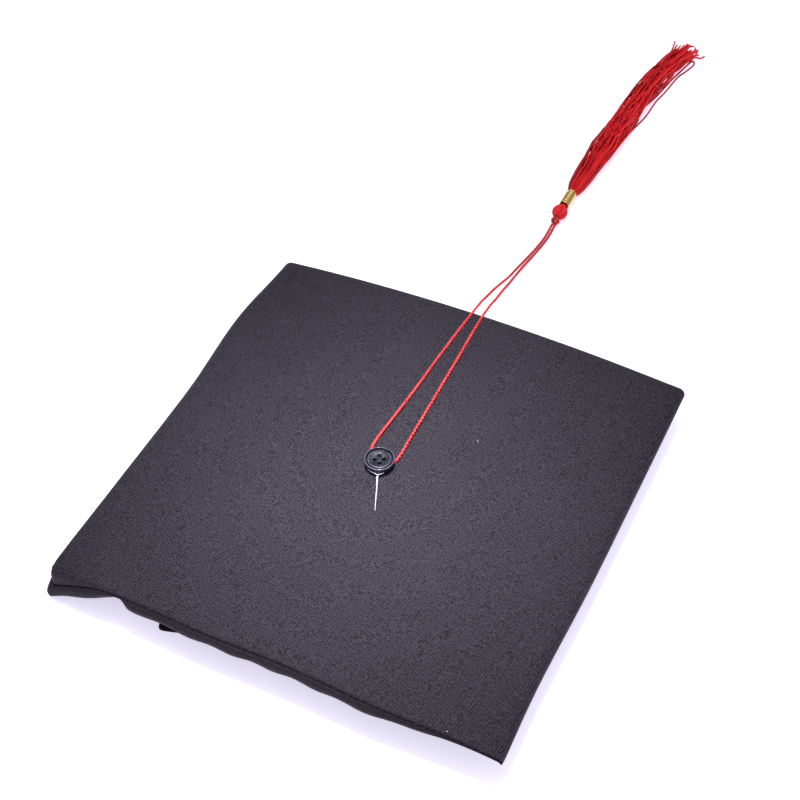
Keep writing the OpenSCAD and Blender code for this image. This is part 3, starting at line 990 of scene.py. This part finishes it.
def make_crown_top(name, reach, below, material, slot, node, seed):
    """A round of cloth under the board, on the crown's side."""
    rings, spokes = 30, 144
    points = [(0.0, 0.0)]
    for k in range(1, rings + 1):
        r = reach * (k / rings) ** 0.8
        points += [(r * math.cos(TURN * j / spokes), r * math.sin(TURN * j / spokes)) for j in range(spokes)]
    points = np.array(points)
    x, y = points.T
    sag = 0.35 * waver(seed, x + 0.4 * y, 40) + 0.25 * waver(seed + 1, y - 0.6 * x, 55)
    z = board_top(x, y) - below - 0.4 - sag * smoothstep((reach - np.hypot(x, y)) / 20)
    faces = [(0, 1 + j, 1 + (j + 1) % spokes) for j in range(spokes)]
    faces += grid_faces(rings, spokes, closed=True, start=1)
    disc = piece(name, np.stack([x, y, z], -1), [f[::-1] for f in faces], material)
    finish_piece(applied(shell(disc, 0.4)), slot, "board", node)


make_crown_top("crown_top_cloth", 88, STACK + 0.1, cap_fabric, "cap_fabric", "crown_top", 31)
make_crown_top(
    "crown_top_lining_cloth", 80, STACK + 1.0, lining_fabric, "lining_fabric", "crown_top_lining", 41,
)


def make_front_point():
    """The stiffened point that stands over the forehead, lying flat in front of the collapsed band."""
    columns, rows = 61, 26
    u = np.linspace(-1, 1, columns)
    side = 42 * u
    angle = np.arcsin(side / (BAND_B - 1.0))
    inner = (BAND_A - 1.0) * np.cos(angle)
    outer = 131.0 - 45 * (np.sqrt(u * u + 0.0016) - 0.04)
    outer = np.maximum(outer, inner + 1.5)
    v = 1 - (1 - np.linspace(0, 1, rows)) ** 1.6
    layers = []
    for sign in (1, -1):
        for share in v:
            x = inner + (outer - inner) * share
            rim = np.sqrt(np.clip(1 - np.clip((share - 0.93) / 0.07, 0, 1) ** 2, 0, 1))
            wave = 0.12 * waver(51, x + 1.7 * side, 34) * smoothstep(share * 3)
            stitch = 0.16 * bell(share, 0.88, 0.018)
            z = 0.85 + wave + sign * (0.62 * rim - stitch)
            layers.append(np.stack([x, side, np.maximum(z, 0.03)], -1))
    points = turned(np.array(layers), POINT_BEARING).reshape(-1, 3)
    count = rows * columns
    faces = grid_faces(rows, columns)
    faces += [tuple(count + i for i in f[::-1]) for f in grid_faces(rows, columns)]
    rim = [i for i in range(columns)][::-1] + [r * columns for r in range(1, rows)]
    rim += [(rows - 1) * columns + i for i in range(1, columns)]
    rim += [r * columns + columns - 1 for r in range(rows - 2, 0, -1)]
    faces += [(a, b, count + b, count + a) for a, b in zip(rim, rim[1:] + rim[:1])]
    point = piece("front_point_cloth", points, faces, band_fabric)
    finish_piece(point, "cap_fabric", "root", "front_point")


make_front_point()


# ---- Seam stitches along the front ----

def make_stitches():
    parts = []
    for x in np.arange(-HALF + FOLD_FRONT, HALF - 6, 3.4):
        ends = np.linspace(0, 2.1, 5)
        xs = x + ends
        ys = np.full(5, -HALF + 0.5)
        dx, dy = outline_shift(xs, ys)
        arch = 0.16 * np.sin(np.linspace(0, math.pi, 5))
        z = cover_height(xs, ys, np.full(5, 0.85)) + arch
        parts.append(tube(np.stack([xs + dx, ys + dy, z], -1), 0.17, 6))
    points, faces, uv = joined(parts)
    stitches = piece("front_seam_stitches", points, faces, thread_fabric, uv=uv)
    finish_piece(stitches, "sewing_thread", "board", "front_stitches")


make_stitches()

# ---- Button and glue ----

BUTTON_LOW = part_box("button")[0].z / MM
BUTTON_TURN = 28
HOLE_REACH = 2.3
HOLE_R = 0.85
BUTTON_PROFILE = [
    (6.8, 0), (7.35, 0.25), (7.6, 0.8), (7.62, 2.2), (7.5, 2.62), (7.25, 2.8), (7, 2.74),
    (6.75, 2.4), (6.65, 1.5), (6.35, 1.25), (6.05, 1.45), (5.9, 2.15), (5.7, 2.42), (5.2, 2.44),
    (4, 2.26), (2.6, 2.06), (1.2, 2),
]


def lathe(profile, spokes, wobble):
    """Points and faces of a closed turned shape. wobble changes the radius and height at each angle."""
    points = [(0, 0, 0)]
    for r, z in profile:
        for k in range(spokes):
            angle = TURN * k / spokes
            dr, dz = wobble(angle, r, z)
            points.append(((r + dr) * math.cos(angle), (r + dr) * math.sin(angle), z + dz))
    points.append((0, 0, profile[-1][1] - 0.04))
    last = len(points) - 1
    faces = [(0, 1 + (k + 1) % spokes, 1 + k) for k in range(spokes)]
    faces += grid_faces(len(profile), spokes, closed=True, start=1)
    top = 1 + (len(profile) - 1) * spokes
    faces += [(top + k, top + (k + 1) % spokes, last) for k in range(spokes)]
    return np.array(points, float), faces


def make_button():
    def wobble(angle, r, z):
        rim = smoothstep((r - 4.4) / 1.5) * smoothstep(z / 1.5)
        dip = 0.16 * math.sin(3 * angle + 0.6) + 0.07 * math.sin(7 * angle + 2)
        spoke = 0.035 * math.sin(26 * angle + 0.8 * math.sin(5 * angle)) * bell(r, 3.6, 1.4)
        return 0.08 * math.sin(2 * angle + 1) * rim, dip * rim * 0.6 + spoke

    points, faces = lathe(BUTTON_PROFILE, 96, wobble)
    points[:, 2] += BUTTON_LOW
    button = piece("flat_button", points, faces, button_plastic)
    for k in range(4):
        angle = math.radians(BUTTON_TURN + 90 * k)
        place = np.array([HOLE_REACH * math.cos(angle), HOLE_REACH * math.sin(angle), 0])
        flare = [(HOLE_R, -1), (HOLE_R, 1.75), (HOLE_R + 0.12, 2.0), (HOLE_R + 0.45, 2.35), (HOLE_R + 0.5, 4)]
        drill, drill_faces = lathe(flare, 28, lambda *_: (0, 0))
        drill = drill + place + (0, 0, BUTTON_LOW)
        drill[0, 2] = BUTTON_LOW - 1
        cutter = piece("drill", drill, drill_faces, button_plastic)
        cut = button.modifiers.new("hole", "BOOLEAN")
        cut.object = cutter
        cut.solver = "EXACT"
        applied(button)
        bpy.data.objects.remove(cutter)
    finish_piece(button, "button_plastic", "board", "button")


make_button()


def blob(name, balls, runs, voxel, material):
    """One smooth body from balls (place, radius) and tapered runs (route, radii)."""
    parts = []
    for place, radius in balls:
        rings = np.linspace(-1, 1, 12)[1:-1] * radius
        line = np.array(place, float) + np.stack([0 * rings, 0 * rings, rings], -1)
        parts.append(tube(line, np.sqrt(radius ** 2 - rings ** 2), 18, rounded=False))
    for route, radii in runs:
        line = evenly(smooth_route(route, 8), 0.25)
        share = np.linspace(0, 1, len(line))
        wide = np.interp(share, np.linspace(0, 1, len(radii)), radii)
        parts.append(tube(line, wide, 14))
    points, faces, _ = joined(parts)
    mass = piece(name, points, faces, material)
    remesh = mass.modifiers.new("melt", "REMESH")
    remesh.mode = "VOXEL"
    remesh.voxel_size = voxel * MM
    remesh.use_smooth_shade = True
    soften = mass.modifiers.new("soften", "SMOOTH")
    soften.factor = 0.5
    soften.iterations = 6
    return applied(mass)


def make_glue():
    top = board_top(0, 0)
    low = BUTTON_LOW - top
    hole = math.radians(BUTTON_TURN + 90)
    hx, hy = HOLE_REACH * math.cos(hole), HOLE_REACH * math.sin(hole)
    middle = top + low / 2
    pad = [((0, 0, middle + 0.05 * k), 1.5) for k in (-1, 1)]
    pad += [((0.9 * math.cos(a), 0.9 * math.sin(a), middle), 1.02) for a in np.arange(12) * TURN / 12]
    plug = ([(hx, hy, top + 0.9), (hx, hy, BUTTON_LOW + 0.3), (hx, hy, BUTTON_LOW + 0.7)], [0.9, 0.7, 0.5])
    body = blob("glue_under_button", pad, [plug], 0.16, hot_glue)
    finish_piece(body, "hot_glue", "board", "glue_pad")
    rim = BUTTON_LOW + 0.15
    root = (2.6, -7.5, rim - 0.9)
    left_arm = [
        (-3.5, -6.5, rim + 0.2), (-2.1, -7.2, rim), (-0.4, -7.6, rim - 0.1), (1.4, -7.55, rim - 0.4), root,
    ]
    right_arm = [(5.3, -5.3, rim + 0.1), (4.4, -6.4, rim - 0.2), (3.4, -7.2, rim - 0.5), root]
    # Along the strand: x, y, and its middle's height above the board
    strand = [
        (2.5, -7.3, 0.9), (3.2, -9.2, 0.62), (4.5, -12, 0.5), (6.1, -15.6, 0.46),
        (7.6, -19.2, 0.42), (9.3, -23.2, 0.36), (10.8, -26.6, 0.26),
    ]
    strand = [(x, y, board_top(x, y) + lift) for x, y, lift in strand]
    runs = [
        (left_arm, [0.16, 0.2, 0.22, 0.3, 0.46]),
        (right_arm, [0.16, 0.22, 0.3, 0.46]),
        (strand, [0.58, 0.4, 0.34, 0.32, 0.3, 0.25, 0.18]),
    ]
    balls = [((2.6, -7.4, rim - 0.8), 0.5), ((0.6, -6.7, rim - 0.9), 0.6)]
    tail = blob("glue_strand_and_fillets", balls, runs, 0.11, hot_glue)
    finish_piece(tail, "hot_glue", "board", "glue_strand")


make_glue()

# ---- Tassel's head ----

AXIS_Z = 4.8
BEAD_Y = 240.5
BEAD_R = 4.75
CORE_R = 3.95
COIL_START = 245.2
COIL_R = 3.35
COIL_L = 14.9
COIL_TURNS = 8
KNOT_AT = np.array([0, 233.6, 3.0])


def make_knot():
    t = np.linspace(0, TURN, 161)
    wide, narrow = 1.42, 0.6
    ring = wide + narrow * np.cos(3 * t)
    line = np.stack([ring * np.cos(2 * t), 1.15 * ring * np.sin(2 * t), 1.1 * np.sin(3 * t)], -1)
    tilt = np.array(Matrix.Rotation(math.radians(62), 3, "X") @ Matrix.Rotation(math.radians(25), 3, "Z"))
    line = line @ tilt.T + KNOT_AT
    loops = tube(line, CORD_D / 2 * 0.96, 14, CORD_PITCH, 2, PLY_OFFSET)
    tail = smooth_route([KNOT_AT + (0.2, 0.6, 0.1), KNOT_AT + (0.1, 2.2, 0.9), (0, BEAD_Y - 3.4, AXIS_Z)], 8)
    points, faces, uv = joined([loops, tube(tail, 0.8, 10)])
    knot = piece("cord_knot", points, faces, cord_yarn, uv=uv)
    finish_piece(knot, "red_cord", "tassel_drop", "tassel_knot")
    return knot


def make_bead_wrap():
    """Threads laid from pole to pole over the bead, and drawn in through its bore."""
    threads, per_thread, rings = 24, 12, 30
    spokes = threads * per_thread
    lip = math.asin(1.2 / BEAD_R)
    outer = [(-3.1, 0.95), (-3.9, 0.98), (-4.35, 1.02)]
    round_bead = np.linspace(lip + 0.07, math.pi - lip - 0.07, rings)
    outer += [(-BEAD_R * math.cos(a), BEAD_R * math.sin(a)) for a in round_bead]
    outer += [(4.35, 1.02), (3.9, 0.98), (3.1, 0.95)]
    core = CORE_R + 0.03
    round_core = np.linspace(lip + 0.12, math.pi - lip - 0.12, 16)
    inner = [(core * math.cos(a), core * math.sin(a)) for a in round_core]
    inner = [(3.2, 1.08)] + inner + [(-3.2, 1.08)]
    section = outer + inner
    angle = TURN * np.arange(spokes) / spokes
    rng = np.random.default_rng(5)
    height = 1 + 0.35 * rng.uniform(-1, 1, threads)[np.arange(spokes) // per_thread]
    lean = 0.12 * np.repeat(rng.uniform(-1, 1, threads), per_thread)
    points = []
    for k, (y, r) in enumerate(section):
        on_outside = k < len(outer)
        ridge = abs(np.sin(angle * threads / 2)) ** 0.8
        depth = 0.42 * np.clip((r - 0.8) / 2.2, 0.25, 1) if on_outside else 0.0
        rr = r - depth * (1 - ridge) * height
        shear = angle + (0.10 * y / BEAD_R + lean * 0.3 * y / BEAD_R) * on_outside
        points.append(np.stack([rr * np.cos(shear), np.full(spokes, y), rr * np.sin(shear)], -1))
    points = np.array(points).reshape(-1, 3) + (0, BEAD_Y, AXIS_Z)
    rows = len(section)
    faces, uv = [], []
    for i in range(rows):
        for j in range(spokes):
            a, b = i * spokes, ((i + 1) % rows) * spokes
            k = (j + 1) % spokes
            faces.append((a + j, b + j, b + k, a + k))
            u0 = 2 * (j // per_thread) + j % per_thread / per_thread
            u1 = u0 + 1 / per_thread
            v0, v1 = i * 0.5, (i + 1) * 0.5
            uv += [(u0, v0), (u0, v1), (u1, v1), (u1, v0)]
    wrap = piece("bead_thread_wrap", points, faces, bead_yarn, uv=uv)
    finish_piece(wrap, "red_thread", "tassel_drop", "bead_wrap")
    return wrap


def make_coil():
    wire = COIL_L / COIL_TURNS
    flat = 1.15
    middle = COIL_R - wire * flat / 2
    turns = COIL_TURNS - 1
    t = np.linspace(0, 1, 44 * turns + 1)
    y = COIL_START + wire / 2 + (COIL_L - wire) * t
    angle = TURN * turns * t + 2.2
    sides = 12
    points = []
    for centre, a in zip(y, angle):
        out = np.array([math.cos(a), 0, math.sin(a)])
        for k in range(sides):
            s = TURN * k / sides
            out_by = middle + wire * flat / 2 * math.cos(s)
            points.append(out * out_by + (0, centre + wire * 0.49 * math.sin(s), 0))
    points = np.array(points) + (0, 0, AXIS_Z)
    points, faces = capped(points, len(t), sides)
    uv = []
    for i in range(len(t) - 1):
        for j in range(sides):
            uv += [(j / sides, i), ((j + 1) / sides, i), ((j + 1) / sides, i + 1), (j / sides, i + 1)]
    uv += [(0.5, 0)] * (2 * sides)
    coil = piece("gold_wire_coil", points, faces, gold_wire, uv=uv)
    finish_piece(coil, "gold_wire", "tassel_drop", "gold_coil")
    return coil


knot = make_knot()
bead_wrap = make_bead_wrap()
coil = make_coil()

# ---- Tassel's skirt ----

# Along Y, the offset to the right, half width and half height
SKIRT = np.array([
    (256, 0, 1.6, 1.6), (260.4, 0, 1.9, 1.9), (262.2, 0, 3.7, 3.3), (268, 0.3, 5.6, 4), (280, 0.8, 6.8, 4.4),
    (310, 1.7, 8.4, 4.6), (345, 4.2, 8.4, 4.5), (375, 5.6, 7.8, 4.4), (400, 8.4, 8.2, 4.3),
    (416, 11.6, 8.4, 4.1), (428, 14.8, 8.6, 3.8), (440, 15.6, 8, 3),
])
THREADS = 66
THREAD_R = 0.58

# Threads that leave the bundle: a loop on its right and tips on both sides
STRAYS = [
    [
        (8, 300, 3.4), (10.4, 334, 1.4), (13.5, 354, 0.8), (14.4, 373, 0.7), (16.3, 385, 0.6),
        (18.5, 404, 0.6), (20.7, 411, 0.6), (22.9, 418, 0.6), (23.8, 422.6, 0.6), (22.8, 425.6, 0.6),
        (21, 425, 0.6), (19.9, 420, 0.7), (18.6, 413, 0.9), (16, 400, 1.1), (14.1, 386, 1.3),
        (12.3, 374, 1.6), (9.7, 362, 2.4),
    ],
    [(4.2, 396, 5), (4.4, 408, 4), (5.2, 422, 3), (5.4, 430, 2.6), (4.6, 436, 2.2), (3.6, 442, 1.9)],
    [
        (11.5, 418, 3.4), (15, 426, 2), (18.2, 429.6, 1.5), (22.6, 430.2, 1.2), (25.5, 430.8, 1),
        (26.9, 433.4, 0.8), (27.3, 435, 0.7),
    ],
    [(8, 420, 5), (11, 429, 4.4), (13.7, 434.7, 4), (18.3, 439.6, 3)],
    [(12, 416, 5), (15.4, 424, 4), (18.4, 430.7, 3), (19.4, 438, 2)],
    [(14, 416, 4.4), (18.4, 425, 3.4), (21, 430, 2.2), (23.7, 434, 1.2)],
    [
        (-3.6, 282, 3.4), (-5.8, 293, 2.8), (-6.9, 304.7, 2.4), (-7.5, 312.2, 2.2), (-6.6, 319, 2.4),
        (-5.1, 327.7, 3), (-3.2, 340, 4),
    ],
]


def skirt_at(y):
    """The skirt's offset to the right, half width and half height at y."""
    return [np.interp(y, SKIRT[:, 0], SKIRT[:, k]) for k in (1, 2, 3)]


def make_skirt():
    rng = np.random.default_rng(17)
    parts = []
    for k in range(THREADS):
        reach = math.sqrt((k + 0.5) / THREADS)
        angle = k * math.pi * (3 - math.sqrt(5))
        end = 434 + rng.uniform(-9, 5.2) - 3 * (1 - reach)
        y = np.linspace(257, end, int((end - 257) / 1.35))
        offset, wide, tall = skirt_at(y)
        loose = smoothstep((y - 268) / 40)
        p = reach * math.cos(angle) + loose * (0.2 * waver(100 + k, y, 80) + 0.07 * waver(300 + k, y, 33))
        q = reach * math.sin(angle) + loose * 0.2 * waver(500 + k, y, 70)
        size = np.hypot(p, q)
        shrink = np.where(size > 1, 1 / np.maximum(size, 1e-6), 1) ** 0.75
        tip = smoothstep((y - end + 22) / 22)
        lean = rng.uniform(-1.6, 1.6)
        x = offset + (wide - 0.4) * p * shrink + lean * tip * tip
        centre = np.where(wide < 3, AXIS_Z, np.minimum(AXIS_Z, tall + 0.3))
        z = centre + (tall - 0.3) * q * shrink - 0.5 * tip
        radius = THREAD_R * (0.7 + 0.3 * smoothstep((y - 259) / 8)) * (1 + 0.08 * waver(700 + k, y, 9))
        z = np.maximum(z, radius + 0.06)
        parts.append(tube(np.stack([x, y, z], -1), radius, 7, own=k))
    for k, route in enumerate(STRAYS):
        line = evenly(smooth_route(route, 8), 0.9)
        parts.append(tube(line, 0.55, 8, own=THREADS + k))
    neck = np.array([(0, y, AXIS_Z) for y in np.linspace(236.8, 262, 60)])
    neck_r = np.interp(neck[:, 1], [236.8, 244.6, 245.8, 259, 262], [0.9, 0.9, 1.85, 1.85, 2.6])
    parts.append(tube(neck, neck_r, 20))
    points, faces, uv = joined(parts)
    skirt = piece("tassel_threads", points, faces, skirt_yarn, uv=uv)
    finish_piece(skirt, "red_thread", "tassel_drop", "tassel_skirt")


make_skirt()

# ---- Materials for the CAD pieces that stay ----

for node, material in (("board_insert", card), ("bead_core", bead_wood)):
    obj = bpy.data.objects[node]
    obj.data.materials.clear()
    obj.data.materials.append(material)
